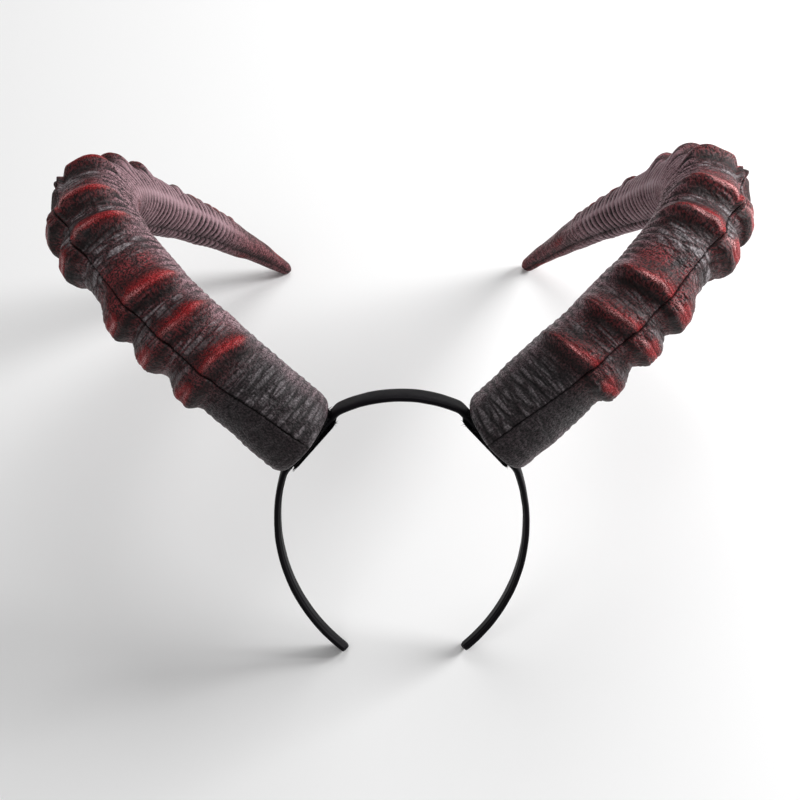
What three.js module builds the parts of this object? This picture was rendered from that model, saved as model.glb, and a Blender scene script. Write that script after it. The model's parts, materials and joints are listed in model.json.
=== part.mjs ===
// Devil horns headband: a springy hoop wound in satin ribbon that carries two curled foam horns.
// Millimetres, +Z up, +Y towards the back of the head, left and right as the wearer has them.
// It stands by itself on a flat surface, leaning back on the ends of the hoop and the tips of the horns.
import * as THREE from "three";

// Clearance between pieces that touch
const GAP = 0.3;

// Hoop: one flat strip that narrows over its legs, described from the crown down one side.
// Turns are degrees towards the head.
const BAND_WIDTH = 11;
const BAND_END_WIDTH = 7.4;
const BAND_TAPER_LENGTH = 100;
const BAND_THICKNESS = 3;
const BAND_CHAMFER = 1;
const BAND_END_RADIUS = 2.4;
const BAND_STRETCHES = [
  { place: "crown", length: 27, turn: 25, steps: 6 },
  { place: "upper kink", length: 3, turn: 24.5, steps: 2 },
  { place: "seat", length: 35.5, turn: 0, steps: 2 },
  { place: "lower kink", length: 3.5, turn: 23, steps: 2 },
  { place: "leg", length: 100.6, turn: 63.5, steps: 10 },
  { place: "end", length: 2.4, turn: 1.5, steps: 4 },
];

// Pads above and below the hoop at each horn
const CAP_THICKNESS = 1;
const CAP_INSET = 0.6;
const PAD_LENGTH = 31;
const PAD_WIDTH = 12.5;
const PAD_THICKNESS = 1;
const PAD_CORNER = 3;

// Horn: two moulded shells that meet along the outer and the inner seam
const HORN_LENGTH = 356;
const HORN_WALL = 4;
const HORN_TIP_RADIUS = 4.5;
const HORN_FOOT_RADIUS = 6;
const HORN_FOOT_INSET = 3.5;
const HORN_FOOT_BLEND = 16;
const HORN_HOLLOW_END = 310;
const HORN_FORWARD = 5;
const HORN_LEAN_DEGREES = 12;
const HORN_TWIST_DEGREES = -7.5;

// How sharply the horn bends, in degrees per millimetre, at distances along its middle line
const HORN_BENDS = [
  { along: 0, bend: -0.07 },
  { along: 60, bend: 0.23 },
  { along: 120, bend: 0.66 },
  { along: 160, bend: 0.99 },
  { along: 185, bend: 0.91 },
  { along: 220, bend: 0.39 },
  { along: 260, bend: 0.09 },
  { along: 356, bend: 0.42 },
];

// Half sizes of the horn between its knobs: from the middle line to the outside of the bend, to its inside,
// and to the flanks
const HORN_SECTIONS = [
  { along: 0, outside: 20, inside: 20, flank: 19.2 },
  { along: 40, outside: 19, inside: 19, flank: 19.6 },
  { along: 90, outside: 17.5, inside: 18.2, flank: 18.7 },
  { along: 140, outside: 16.8, inside: 19.2, flank: 18.5 },
  { along: 196, outside: 14.6, inside: 18.6, flank: 17 },
  { along: 249, outside: 11.4, inside: 14, flank: 12.6 },
  { along: 302, outside: 8.6, inside: 9.4, flank: 8.6 },
  { along: 356, outside: 2.8, inside: 2.8, flank: 3 },
];

// Where the two shells meet, in degrees below the middle of the outside and below the middle of the inside.
// The upper shell is the wider one, except near the foot.
const HORN_SEAMS = [
  { along: 0, outer: -19, inner: 11 },
  { along: 40, outer: -1, inner: 9 },
  { along: 80, outer: 9, inner: 8 },
  { along: 130, outer: 12, inner: 8 },
  { along: 356, outer: 12, inner: 8 },
];

// The outer side is an oval with a low keel on its seam, the inner side is squarer
const OUTER_ROUNDNESS = 2;
const INNER_ROUNDNESS = 2.8;
const KEEL_HEIGHT = 1.2;
const KEEL_SPREAD_DEGREES = 20;

// Knobs on the outer side, from the foot to the tip: the foot side is steep and the tip side gentle.
// Heights are those on the upper and on the lower shell.
const HORN_KNOBS = [
  { along: 52, upper: 5, lower: 5, steep: 6, gentle: 11 },
  { along: 74, upper: 5, lower: 5.2, steep: 6, gentle: 11 },
  { along: 93, upper: 5.5, lower: 5.5, steep: 6, gentle: 13 },
  { along: 128, upper: 6, lower: 6, steep: 7, gentle: 10 },
  { along: 147, upper: 6, lower: 6, steep: 7, gentle: 12 },
  { along: 178, upper: 5.5, lower: 5, steep: 7, gentle: 11 },
  { along: 201, upper: 5.2, lower: 4, steep: 7, gentle: 11 },
  { along: 223, upper: 4.6, lower: 3, steep: 7, gentle: 11 },
  { along: 254, upper: 2.6, lower: 1.6, steep: 5, gentle: 6 },
];
const KNOB_CREST = 1;

// Small rings that follow the last knob
const RING_FIRST = 266;
const RING_PITCH = 7;
const RING_COUNT = 6;
const RING_UPPER = 1.1;
const RING_LOWER = 0.7;
const RING_REACH = RING_PITCH / 2;

// Each knob is pinched at the seam, swells on both sides of it and dies out on the flanks
const KNOB_AT_SEAM = 0.3;
const KNOB_FULL_DEGREES = 36;
const KNOB_FADE_DEGREES = 54;
const KNOB_END_DEGREES = 106;

// Corners of the horn's skin: round half a section, in degrees from the outer seam, and along the horn
// where it has no knob. The tip's last rings are shares of its radius before the end.
const SECTION_DEGREES = [0, 19, 38, 56, 80, 106, 132, 157, 180];
const PLAIN_STATIONS = [0, 1, 3, 6, 20, 36, 113, 165, 241, HORN_HOLLOW_END, 320, 330, 340, 348];
const TIP_ROUNDING = [1, 0.6, 0.3, 0.1];

const FOAM = new THREE.MeshStandardMaterial({ color: 0x3a2a2c, roughness: 0.55, metalness: 0 });
const SATIN = new THREE.MeshStandardMaterial({ color: 0x161618, roughness: 0.4, metalness: 0 });
const FELT = new THREE.MeshStandardMaterial({ color: 0x1b1b1d, roughness: 0.95, metalness: 0 });

// The lean at rest is found by a few passes from a first guess
const LEAN_GUESS_DEGREES = 25;
const LEAN_PASSES = 6;

const radians = THREE.MathUtils.degToRad;
const smoothstep = THREE.MathUtils.smoothstep;

// One column of a table, read at any distance along
function column(table, name, Curve = THREE.CubicInterpolant) {
  const places = table.map((row) => row.along);
  const values = table.map((row) => row[name]);
  const curve = new Curve(places, values, 1);
  return (along) => curve.evaluate(along)[0];
}

// Collects corners and faces of one closed skin. A mirrored skin has its faces turned round.
class Skin {
  constructor(mirrored = false) {
    this.mirrored = mirrored;
    this.positions = [];
    this.faces = [];
  }

  corner(point) {
    this.positions.push(point.x, point.y, point.z);
    return this.positions.length / 3 - 1;
  }

  ring(points) {
    return points.map((point) => this.corner(point));
  }

  triangle(a, b, c) {
    if (a === b || b === c || c === a) {
      return;
    }
    this.faces.push(...(this.mirrored ? [a, c, b] : [a, b, c]));
  }

  quad(a, b, c, d) {
    this.triangle(a, b, c);
    this.triangle(a, c, d);
  }

  geometry() {
    const geometry = new THREE.BufferGeometry();
    geometry.setAttribute("position", new THREE.Float32BufferAttribute(this.positions, 3));
    geometry.setIndex(this.faces);
    geometry.computeVertexNormals();
    return geometry;
  }
}

// Marks along one side of the hoop's middle line, from the crown to the end
function bandSide() {
  const length = BAND_STRETCHES.reduce((sum, stretch) => sum + stretch.length, 0);
  const marks = [{ x: 0, z: 0, heading: 0, toEnd: length, place: "crown" }];
  for (const stretch of BAND_STRETCHES) {
    const stride = stretch.length / stretch.steps;
    const turn = radians(stretch.turn / stretch.steps);
    for (let step = 0; step < stretch.steps; step += 1) {
      const last = marks.at(-1);
      const course = last.heading + turn / 2;
      marks.push({
        x: last.x + stride * Math.cos(course),
        z: last.z - stride * Math.sin(course),
        heading: last.heading + turn,
        toEnd: last.toEnd - stride,
        place: stretch.place,
      });
    }
  }
  return marks;
}

// Corners of the strip's section, rounded off where the strip ends
function bandSection(mark) {
  const toEnd = Math.max(mark.toEnd, 0);
  const width = THREE.MathUtils.lerp(BAND_END_WIDTH, BAND_WIDTH, Math.min(toEnd / BAND_TAPER_LENGTH, 1));
  const reach = 1 - Math.min(toEnd / BAND_END_RADIUS, 1);
  const cutBack = BAND_END_RADIUS * (1 - Math.sqrt(1 - reach * reach));
  const wide = width / 2 - cutBack;
  const thick = BAND_THICKNESS / 2;
  const corners = [
    [wide, thick - BAND_CHAMFER],
    [wide - BAND_CHAMFER, thick],
    [BAND_CHAMFER - wide, thick],
    [-wide, thick - BAND_CHAMFER],
    [-wide, BAND_CHAMFER - thick],
    [BAND_CHAMFER - wide, -thick],
    [wide - BAND_CHAMFER, -thick],
    [wide, BAND_CHAMFER - thick],
  ];
  return corners.map(([across, out]) => new THREE.Vector3(
    mark.x + out * Math.sin(mark.heading),
    across,
    mark.z + out * Math.cos(mark.heading),
  ));
}

function bandGeometry(marks) {
  const mirrored = marks.slice(1).reverse().map((mark) => ({ ...mark, x: -mark.x, heading: -mark.heading }));
  const skin = new Skin();
  const rings = [...mirrored, ...marks].map((mark) => skin.ring(bandSection(mark)));
  const count = rings[0].length;
  for (let index = 0; index + 1 < rings.length; index += 1) {
    const here = rings[index];
    const next = rings[index + 1];
    for (let corner = 0; corner < count; corner += 1) {
      const after = (corner + 1) % count;
      skin.quad(here[corner], here[after], next[after], next[corner]);
    }
  }
  const [first] = rings;
  const last = rings.at(-1);
  for (let corner = 1; corner + 1 < count; corner += 1) {
    skin.triangle(first[0], first[corner + 1], first[corner]);
    skin.triangle(last[0], last[corner], last[corner + 1]);
  }
  return skin.geometry();
}

// Frames along the horn's middle line, one for each millimetre. The seat's own axes are used:
// X along the hoop, Y to the back, Z out of the seat. "inward" points to the inside of the bend.
function hornSpine() {
  const lean = radians(HORN_LEAN_DEGREES);
  const bendAt = column(HORN_BENDS, "bend", THREE.LinearInterpolant);
  const twist = radians(HORN_TWIST_DEGREES / HORN_LENGTH);
  const forward = new THREE.Vector3(0, Math.sin(lean), Math.cos(lean));
  const inward = new THREE.Vector3(0, Math.cos(lean), -Math.sin(lean));
  const point = new THREE.Vector3(0, -HORN_FORWARD, hornFootHeight());
  const halfStep = 0.5;
  const spine = [];
  for (let along = 0; along <= HORN_LENGTH; along += 2 * halfStep) {
    const across = new THREE.Vector3().crossVectors(forward, inward);
    spine.push({ point: point.clone(), forward: forward.clone(), inward: inward.clone(), across });
    const turn = radians(bendAt(along));
    point.addScaledVector(forward, halfStep);
    forward.applyAxisAngle(across, turn);
    inward.applyAxisAngle(across, turn);
    point.addScaledVector(forward, halfStep);
    inward.applyAxisAngle(forward, twist);
  }
  return spine;
}

// Height of the horn's flat foot over the hoop's middle line
function hornFootHeight() {
  return BAND_THICKNESS / 2 + GAP + CAP_THICKNESS + GAP;
}

// Knobs and rings in one list
function hornRidges() {
  const ridges = [...HORN_KNOBS];
  for (let index = 0; index < RING_COUNT; index += 1) {
    const along = RING_FIRST + index * RING_PITCH;
    ridges.push({ along, upper: RING_UPPER, lower: RING_LOWER, steep: RING_REACH, gentle: RING_REACH });
  }
  return ridges;
}

// Distances along the horn where its skin has a ring of corners
function hornStations() {
  const places = new Set(PLAIN_STATIONS);
  for (const ridge of hornRidges()) {
    places.add(ridge.along - ridge.steep);
    places.add(ridge.along - KNOB_CREST);
    places.add(ridge.along + KNOB_CREST);
    places.add(ridge.along + ridge.gentle);
  }
  for (const part of TIP_ROUNDING) {
    places.add(HORN_LENGTH - part * HORN_TIP_RADIUS);
  }
  return [...places].sort((a, b) => a - b);
}

// Share of a knob's height at an angle from the outer seam
function knobShare(angle) {
  const rise = smoothstep(angle, 0, radians(KNOB_FULL_DEGREES));
  const fade = 1 - smoothstep(angle, radians(KNOB_FADE_DEGREES), radians(KNOB_END_DEGREES));
  return THREE.MathUtils.lerp(KNOB_AT_SEAM, 1, rise) * fade;
}

// Height of the knobs and rings above the plain section
function ridgeHeight(ridges, along, angle, side) {
  const heights = ridges.map((ridge) => {
    const rise = smoothstep(along, ridge.along - ridge.steep, ridge.along - KNOB_CREST);
    const fall = 1 - smoothstep(along, ridge.along + KNOB_CREST, ridge.along + ridge.gentle);
    return (side > 0 ? ridge.upper : ridge.lower) * rise * fall;
  });
  return Math.max(...heights) * knobShare(angle);
}

// A power of a number's size that keeps its sign
function signedPower(value, power) {
  return Math.sign(value) * Math.abs(value) ** power;
}

// Shape of the horn's section: distances out of the bend and across, at an angle from the outer seam on the
// shell above the seams (side 1) or below them (side -1)
function hornSection() {
  const outsideAt = column(HORN_SECTIONS, "outside");
  const insideAt = column(HORN_SECTIONS, "inside");
  const flankAt = column(HORN_SECTIONS, "flank");
  const outerSeamAt = column(HORN_SEAMS, "outer", THREE.LinearInterpolant);
  const innerSeamAt = column(HORN_SEAMS, "inner", THREE.LinearInterpolant);
  const ridges = hornRidges();
  return (along, angle, inset, side) => {
    const beyond = Math.max(along - (HORN_LENGTH - HORN_TIP_RADIUS), 0) / HORN_TIP_RADIUS;
    const rounding = Math.sqrt(1 - beyond * beyond);
    const before = 1 - Math.min(along / HORN_FOOT_RADIUS, 1);
    const footInset = HORN_FOOT_INSET * (1 - Math.sqrt(1 - before * before));
    const outerSeam = radians(outerSeamAt(along));
    const share = (Math.PI + side * (outerSeam + radians(innerSeamAt(along)))) / Math.PI;
    const turn = angle * share - side * outerSeam;
    const outward = Math.cos(turn) > 0;
    const power = 2 / (outward ? OUTER_ROUNDNESS : INNER_ROUNDNESS);
    const depth = outward ? outsideAt(along) : insideAt(along);
    const keel = KEEL_HEIGHT * Math.exp(-((angle / radians(KEEL_SPREAD_DEGREES)) ** 2));
    const out = signedPower(Math.cos(turn), power) * depth + keel;
    const across = signedPower(Math.sin(turn), power) * flankAt(along);
    const radius = Math.hypot(out, across);
    const grown = (radius + ridgeHeight(ridges, along, angle, side)) * rounding - footInset - inset;
    return { out: (out / radius) * grown, across: (across / radius) * grown };
  };
}

// Points of the horn's skin. The sections near the foot are sheared until they lie in the foot's plane.
function hornSurface() {
  const spine = hornSpine();
  const section = hornSection();
  return (along, angle, inset, side) => {
    const before = spine[Math.floor(along)];
    const after = spine[Math.min(Math.floor(along) + 1, HORN_LENGTH)];
    const { out, across } = section(along, angle, inset, side);
    const offset = new THREE.Vector3().addScaledVector(before.inward, -out);
    offset.addScaledVector(before.across, side * (across + GAP / 2));
    const shear = Math.max(1 - along / HORN_FOOT_BLEND, 0);
    offset.addScaledVector(before.forward, (-offset.z / before.forward.z) * shear);
    return before.point.clone().lerp(after.point, along - Math.floor(along)).add(offset);
  };
}

// One of the two shells of a horn: a curled trough of even wall, solid near the tip
function hornShellGeometry(side) {
  const surface = hornSurface();
  const angles = SECTION_DEGREES.map(radians);
  const stations = hornStations();
  const skin = new Skin(side < 0);
  const ringAt = (along, inset) => skin.ring(angles.map((angle) => surface(along, angle, inset, side)));
  const outer = stations.map((along) => ringAt(along, 0));
  const inner = stations.filter((along) => along <= HORN_HOLLOW_END).map((along) => ringAt(along, HORN_WALL));
  const tip = skin.corner(surface(HORN_LENGTH, 0, 0, side));
  const end = angles.length - 1;
  const deepest = inner.length - 1;

  for (let row = 0; row + 1 < outer.length; row += 1) {
    for (let place = 0; place < end; place += 1) {
      skin.quad(outer[row][place], outer[row + 1][place], outer[row + 1][place + 1], outer[row][place + 1]);
    }
  }
  for (let row = 0; row < deepest; row += 1) {
    for (let place = 0; place < end; place += 1) {
      skin.quad(inner[row][place], inner[row][place + 1], inner[row + 1][place + 1], inner[row + 1][place]);
    }
    skin.quad(outer[row][0], inner[row][0], inner[row + 1][0], outer[row + 1][0]);
    skin.quad(outer[row][end], outer[row + 1][end], inner[row + 1][end], inner[row][end]);
  }
  for (let place = 0; place < end; place += 1) {
    skin.quad(outer[0][place], outer[0][place + 1], inner[0][place + 1], inner[0][place]);
    skin.triangle(outer.at(-1)[place], tip, outer.at(-1)[place + 1]);
  }

  const wall = inner[deepest];
  for (let place = 0; place < end / 2; place += 1) {
    skin.quad(wall[place], wall[place + 1], wall[end - 1 - place], wall[end - place]);
  }
  const beyond = outer[deepest + 1];
  skin.triangle(beyond[0], outer[deepest][0], wall[0]);
  skin.triangle(beyond[0], wall[0], wall[end]);
  skin.triangle(beyond[0], wall[end], outer[deepest][end]);
  skin.triangle(beyond[0], outer[deepest][end], beyond[end]);
  for (let row = deepest + 1; row + 1 < outer.length; row += 1) {
    skin.quad(outer[row][0], outer[row][end], outer[row + 1][end], outer[row + 1][0]);
  }
  skin.triangle(outer.at(-1)[0], outer.at(-1)[end], tip);
  return skin.geometry();
}

// Disc that closes the horn's foot and follows its outline
function capGeometry() {
  const surface = hornSurface();
  const half = (side) => SECTION_DEGREES.map((angle) => surface(0, radians(angle), CAP_INSET, side));
  const outline = [...half(1), ...half(-1).reverse()];
  const shape = new THREE.Shape(outline.map((point) => new THREE.Vector2(point.x, point.y)));
  return new THREE.ExtrudeGeometry(shape, { depth: CAP_THICKNESS, bevelEnabled: false });
}

// Patch with round corners on the head's side of the hoop
function padGeometry() {
  const long = PAD_LENGTH / 2;
  const wide = PAD_WIDTH / 2;
  const shape = new THREE.Shape();
  shape.absarc(long - PAD_CORNER, wide - PAD_CORNER, PAD_CORNER, 0, Math.PI / 2);
  shape.absarc(PAD_CORNER - long, wide - PAD_CORNER, PAD_CORNER, Math.PI / 2, Math.PI);
  shape.absarc(PAD_CORNER - long, PAD_CORNER - wide, PAD_CORNER, Math.PI, 1.5 * Math.PI);
  shape.absarc(long - PAD_CORNER, PAD_CORNER - wide, PAD_CORNER, 1.5 * Math.PI, 2 * Math.PI);
  shape.closePath();
  return new THREE.ExtrudeGeometry(shape, { depth: PAD_THICKNESS, bevelEnabled: false, curveSegments: 4 });
}

function named(name, geometry, material) {
  const mesh = new THREE.Mesh(geometry, material.clone());
  mesh.name = name;
  return mesh;
}

// A horn with its pads, placed on the hoop's seat
function hornGroup(side, seat) {
  const cap = named(`base_cap_${side}`, capGeometry(), FELT);
  cap.position.z = BAND_THICKNESS / 2 + GAP;
  const pad = named(`base_pad_${side}`, padGeometry(), FELT);
  pad.position.z = -BAND_THICKNESS / 2 - GAP - PAD_THICKNESS;
  const upper = named(`horn_${side}_upper`, hornShellGeometry(1), FOAM);
  const lower = named(`horn_${side}_lower`, hornShellGeometry(-1), FOAM);
  const group = new THREE.Group();
  group.add(cap, pad, upper, lower);
  group.position.set(seat.x, 0, seat.z);
  group.rotation.y = seat.heading;
  return group;
}

// The corner of a mesh that comes lowest once the headband leans back
function lowestCorner(mesh, lean) {
  const places = mesh.geometry.getAttribute("position");
  const point = new THREE.Vector3();
  let lowest = null;
  for (let index = 0; index < places.count; index += 1) {
    point.fromBufferAttribute(places, index).applyMatrix4(mesh.matrixWorld);
    const height = point.z * Math.cos(lean) - point.y * Math.sin(lean);
    if (lowest === null || height < lowest.height) {
      lowest = { height, y: point.y, z: point.z };
    }
  }
  return lowest;
}

// How far the headband leans back until the hoop's ends and the horns' tips rest on one plane
function restingLean(band, horn) {
  let lean = radians(LEAN_GUESS_DEGREES);
  for (let pass = 0; pass < LEAN_PASSES; pass += 1) {
    const end = lowestCorner(band, lean);
    const tip = lowestCorner(horn, lean);
    lean = Math.atan2(tip.z - end.z, tip.y - end.y);
  }
  return lean;
}

const marks = bandSide();
// The seat is drawn in two steps, so the first of its marks is its middle
const seatCentre = marks.find((mark) => mark.place === "seat");
const band = named("headband", bandGeometry(marks), SATIN);
const leftSide = hornGroup("left", seatCentre);
const rightSide = new THREE.Group();
rightSide.scale.x = -1;
rightSide.add(hornGroup("right", seatCentre));

const worn = new THREE.Group();
worn.add(band, leftSide, rightSide);
worn.updateMatrixWorld(true);
worn.rotation.x = -restingLean(band, leftSide.getObjectByName("horn_left_lower"));

const headband = new THREE.Group();
headband.add(worn);
const box = new THREE.Box3().setFromObject(headband, true);
const middle = box.getCenter(new THREE.Vector3());
worn.position.set(-middle.x, -middle.y, -box.min.z);

export default headband;
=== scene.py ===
"""Devil horns headband: two curled foam horns on a hoop wound in black satin ribbon.

Shapes are worked out in millimetres in the hoop's own axes: X to the wearer's left, Y to the back of the
head, Z up, with the crown at the origin. They are then leaned back to the pose in which the headband stands
by itself, and turned into metres.
"""

import json
from collections import namedtuple
from math import atan2, cos, pi, radians, sin

import bpy
import numpy as np
from mathutils import Matrix, Vector


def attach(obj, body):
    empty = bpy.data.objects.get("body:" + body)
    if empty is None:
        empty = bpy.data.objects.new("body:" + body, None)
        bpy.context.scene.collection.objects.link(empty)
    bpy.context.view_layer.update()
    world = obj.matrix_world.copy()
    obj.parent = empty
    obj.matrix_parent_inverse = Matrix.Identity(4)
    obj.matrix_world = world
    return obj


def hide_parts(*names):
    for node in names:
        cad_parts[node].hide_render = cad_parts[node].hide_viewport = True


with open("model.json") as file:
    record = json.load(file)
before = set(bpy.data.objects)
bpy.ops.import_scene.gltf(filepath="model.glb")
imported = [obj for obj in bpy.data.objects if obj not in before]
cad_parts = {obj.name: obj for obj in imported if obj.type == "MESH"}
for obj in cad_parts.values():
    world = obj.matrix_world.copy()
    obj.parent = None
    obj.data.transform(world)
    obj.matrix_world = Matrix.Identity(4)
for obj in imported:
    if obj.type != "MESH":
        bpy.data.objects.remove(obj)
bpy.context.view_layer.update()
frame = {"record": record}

MILLIMETRE = 0.001
GAP = 0.3

# Where something starts to show, and where it shows in full
Rise = namedtuple("Rise", "start full")

# Soft hills that make relief and paint uneven: their middle level, height, length, width and seed
Hills = namedtuple("Hills", "level height length width seed")

# Hills along the crests of a row, and what sets each crest's hills off from the last one's
Crests = namedtuple("Crests", "level height width seed row_step seed_step")

# Paint by a crest: its strength at levels 0 and 1, how far past the crest it lies, and its spread
Coat = namedtuple("Coat", "low high place spread")

# Hoop: one strip that narrows over its legs, described from the crown down one side.
# Turns are degrees towards the head.
BAND_WIDTH = 11
BAND_END_WIDTH = 7.4
BAND_TAPER_LENGTH = 100
BAND_THICKNESS = 3
BAND_END_RADIUS = 2.4
BAND_STRIDE = 0.8
Stretch = namedtuple("Stretch", "place length turn")
BAND_STRETCHES = [
    Stretch("crown", 27, 25),
    Stretch("upper kink", 3, 24.5),
    Stretch("seat", 35.5, 0),
    Stretch("lower kink", 3.5, 23),
    Stretch("leg", 100.6, 63.5),
    Stretch("end", 2.4, 1.5),
]

# Ribbon on the hoop: the strip's edge is a roll, and a narrower strip lines the head's side
RIBBON_ROUNDNESS = 3.6
RIBBON_CORNERS = 56
LINING_MARGIN = 1.3
LINING_HEIGHT = 0.35
LINING_EDGE = 0.3
LINING_SUNK = 0.6
RIBBON_RIPPLE = Hills(0, 0.07, 5, 4, 70)

# Pads above and below the hoop at each horn
CAP_THICKNESS = 1
CAP_INSET = 0.6
PAD_LENGTH = 31
PAD_WIDTH = 12.5
PAD_THICKNESS = 1
PAD_CORNER = 3
PAD_CORNER_POINTS = 9
FELT_RAGGED = 0.035
FELT_WAVES = 6
FELT_LUMPS = 0.06
FELT_LUMP_SIZE = 2
CAP_POINTS = 75
FELT_RINGS = [0.05, 0.3, 0.55, 0.8]
FELT_EDGE = 0.15
FELT_EDGE_ROWS = 9
FELT_SEED = 300
FELT_SEED_STEP = 20

# Fibres at the felt's edge, all round or on the crown's side only
Fibres = namedtuple("Fibres", "count length radius crown_side")
LOOSE_FIBRES = Fibres(70, 2.2, 0.09, False)
RAGGED_FIBRES = Fibres(46, 3.6, 0.28, True)
FIBRE_SHORTEST = 0.3
FIBRE_ROOT = 0.4
FIBRE_SPREAD = 0.35
FIBRE_DISORDER = 0.5
FIBRE_ASIDE = [0.3, 0.2, 1]
FIBRE_FACES = [[0, 2, 1], [0, 1, 3], [1, 2, 3], [2, 0, 3]]
CROWN_SIDE = 0.55

# Horn: two moulded halves that meet along the outer and the inner seam
HORN_LENGTH = 356
HORN_WALL = 4
HORN_TIP_RADIUS = 4.5
HORN_FOOT_RADIUS = 6
HORN_FOOT_INSET = 3.5
HORN_FOOT_BLEND = 16
HORN_HOLLOW_END = 310
HORN_HOLLOW_BLEND = 12
HORN_SOLID_INSET = 0.04
HORN_FORWARD = 5
HORN_LEAN_DEGREES = 12
HORN_TWIST_DEGREES = -7.5

# How sharply the horn bends, in degrees per millimetre, at distances along its middle line
Bend = namedtuple("Bend", "along bend")
HORN_BENDS = [
    Bend(0, -0.07),
    Bend(60, 0.23),
    Bend(120, 0.66),
    Bend(160, 0.99),
    Bend(185, 0.91),
    Bend(220, 0.39),
    Bend(260, 0.09),
    Bend(356, 0.42),
]

# Half sizes of the horn between its knobs: to the outside of the bend, to its inside and to the flanks
Section = namedtuple("Section", "along outside inside flank")
HORN_SECTIONS = [
    Section(0, 20, 20, 19.2),
    Section(40, 19, 19, 19.6),
    Section(90, 17.5, 18.2, 18.7),
    Section(140, 16.8, 19.2, 18.5),
    Section(196, 14.6, 18.6, 17),
    Section(249, 11.4, 14, 12.6),
    Section(302, 8.6, 9.4, 8.6),
    Section(356, 2.8, 2.8, 3),
]
OUTER_ROUNDNESS = 2
INNER_ROUNDNESS = 2.8
KEEL_HEIGHT = 1.2
KEEL_SPREAD = radians(20)

# Where the halves meet, in degrees below the middle of the outside and of the inside
Seam = namedtuple("Seam", "along outer inner")
HORN_SEAMS = [
    Seam(0, -19, 11),
    Seam(40, -1, 9),
    Seam(80, 9, 8),
    Seam(130, 12, 8),
    Seam(356, 12, 8),
]

# Each half of a horn draws its hills from seeds of its own
HORN_SEEDS = {"left": 1000, "right": 5000}
LOWER_SEED = 1000
SEAM_SEED_SHARE = 100

# The outer face ends and the inner face starts at a ragged line. Angles are degrees from the outer seam.
FACE_ENDING = Rise(52, 86)
CORNER_WANDER = Hills(0, 9, 6, 14, 53)

# The stretch along the horn in which it bends most sharply
PAST_BEND = Rise(150, 210)

# Knobs on the outer side, from the foot to the tip: the foot side is steep and the tip side gentle.
# Heights are those on the upper and on the lower half. The foot side is blackened as painted shade, or worn
# to a grey net that is partly painted highlight.
Knob = namedtuple("Knob", "along upper lower steep gentle black worn")
HORN_KNOBS = [
    Knob(52, 5, 5, 6, 11, 0.8, 0),
    Knob(74, 5, 5.2, 6, 11, 0.9, 0.5),
    Knob(93, 5.5, 5.5, 6, 13, 1, 0.6),
    Knob(128, 6, 6, 7, 10, 0.5, 1),
    Knob(147, 6, 6, 7, 12, 0.6, 1),
    Knob(178, 5.5, 5, 7, 11, 0.9, 0.8),
    Knob(201, 5.2, 4, 7, 11, 1, 0.7),
    Knob(223, 4.6, 3, 7, 11, 1, 0.6),
    Knob(254, 2.6, 1.6, 5, 6, 0.9, 0.4),
]
KNOB_TALLEST = 6
KNOB_FULL = 6
KNOB_WANDER = Crests(0, 1, 9, 0, 0, 1)
KNOB_AT_SEAM = 0.35
KNOB_ENDING = Rise(53, 106)
EAR_HEIGHT = 0.12
EAR_ANGLE = 46
EAR_SPREAD = 12

# The upper half's crests are sharp and run back to the foot as they leave the seam. The lower half's are
# longer, softer and round, with less red by the seam, lower rings after them and less net at the foot.
Half = namedtuple("Half", "crest softening skew roundness red_at_seam ring foot_net")
UPPER_HALF = Half(0.8, 0, 0.2, 0.5, 1, 1.1, 0.5)
LOWER_HALF = Half(2.6, 3, 0, 0.9, 0.35, 0.7, 0.05)
CREST_SHARPNESS = 1.6
CREST_PIVOT = 8
CREST_REACH = 24

# Paint on the knobs: red crests with pink rims that are partly dry-brush and partly painted highlight,
# maroon past them, black painted shade on both sides, and a worn grey net with painted highlight in it
KNOB_RED = Coat(0.85, 1.15, 0.4, 1.3)
KNOB_RED_PAST = 2.4
KNOB_RED_UNEVEN = 0.35
KNOB_RED_PATCHES = Crests(0, 1, 8, 31, 5, 0)
KNOB_RED_RISE = Rise(1, 9)
KNOB_MAROON = Coat(0.55, 0.75, 3, 5.5)
MAROON_RISE = Rise(-3, 0)
MAROON_LOST = 0.4
KNOB_RIM = Coat(0.7, 1.6, 0.2, 0.8)
RIM_PATCHES = Crests(0.4, 0.9, 5, 30, 3, 0)
KNOB_NET = Coat(0, 1.5, -4, 6)
KNOB_BLACK = Coat(0.55, 1, -4.6, 2.4)
KNOB_SHADE = Coat(0.6, 0.6, 6, 3)

# Small rings that follow the last knob, red with black between them
RING_FIRST = 266
RING_PITCH = 7
RING_COUNT = 6
RING_WANDER = Crests(0, 0.8, 6, 20, 0, 1)
RING_AT_SEAM = 0.5
RING_RISE = Rise(0.5, 3)
RING_ENDING = Rise(60, 125)
RING_RED = Coat(0.75, 0.75, 0, 1.9)
RING_RIM = Coat(0.25, 0.25, 0, 0.8)
RING_BLACK = Coat(0.95, 0.95, -RING_PITCH / 2, 1.9)

# Fine grooves round the flanks: broken and shallow by the foot, whole and deep past the bend, with painted
# shade in them
GROOVE_PITCH = 4.2
GROOVE_DEPTH = 1.1
GROOVE_WANDER = Hills(0, 1.3, 30, 22, 40)
GROOVE_BREAKS = Hills(0, 1, 7, 12, 41)
GROOVE_LEVEL = 0.75
GROOVE_BROKEN_BY_FOOT = 0.8
GROOVE_BROKEN = 0.3
GROOVE_MENDING = Rise(40, 190)
GROOVE_GAIN = 1.5
GROOVE_SHARPNESS = 1.5
GROOVE_DEEPENING = Rise(40, 180)
GROOVE_DEPTH_BY_FOOT = 0.3
GROOVE_BLACK_BY_FOOT = 0.6
GROOVE_RISE = Rise(56, 80)
GROOVE_ENDING = Rise(272, 318)

# Thin crosswise lines on the upper half's outer face by the foot
FOOT_LINES_ENDING = Rise(38, 50)
FOOT_LINE_DEPTH = 0.35
FOOT_LINE_SHARPNESS = 4
FOOT_LINE_BREAKS = 0.8
FOOT_LINE_BLACK = 0.75
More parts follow.
